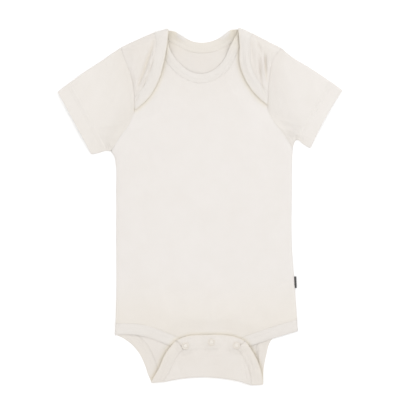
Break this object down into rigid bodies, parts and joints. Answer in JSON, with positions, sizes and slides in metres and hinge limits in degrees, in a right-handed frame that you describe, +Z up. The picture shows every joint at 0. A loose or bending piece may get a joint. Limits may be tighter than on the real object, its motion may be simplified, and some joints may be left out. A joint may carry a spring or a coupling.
{
  "type": "baby bodysuit laid flat",
  "caption": "Cream short-sleeved baby bodysuit laid flat front up, with a lap-shoulder neck, bound leg openings and a crotch flap closed by ring snaps.",
  "frame": {"origin": "centre of the bounding box's footprint, on the surface that the garment lies on", "axes": "+X across the garment to the wearer's left, +Y from the crotch to the neck, +Z up out of the front"},
  "size_m": [0.3202, 0.4022, 0.008],
  "materials": {
    "jersey": "cream cotton jersey knit",
    "rib": "cream cotton rib knit",
    "snap": "cream enamelled ring snap",
    "tab": "black woven tape"
  },
  "bodies": {
    "root": {"back_panel": "jersey", "front_panel": "jersey", "sleeve_left": "jersey", "sleeve_right": "jersey", "neck_binding_back": "rib", "neck_binding_front": "rib", "leg_binding_back_left": "rib", "leg_binding_back_right": "rib", "leg_binding_front_left": "rib", "leg_binding_front_right": "rib", "snap_cap_1": "snap", "snap_cap_2": "snap", "snap_cap_3": "snap", "snap_socket_1": "snap", "snap_socket_2": "snap", "snap_socket_3": "snap", "snap_stud_1": "snap", "snap_stud_2": "snap", "snap_stud_3": "snap", "side_label": "tab"}
  },
  "joints": []
}
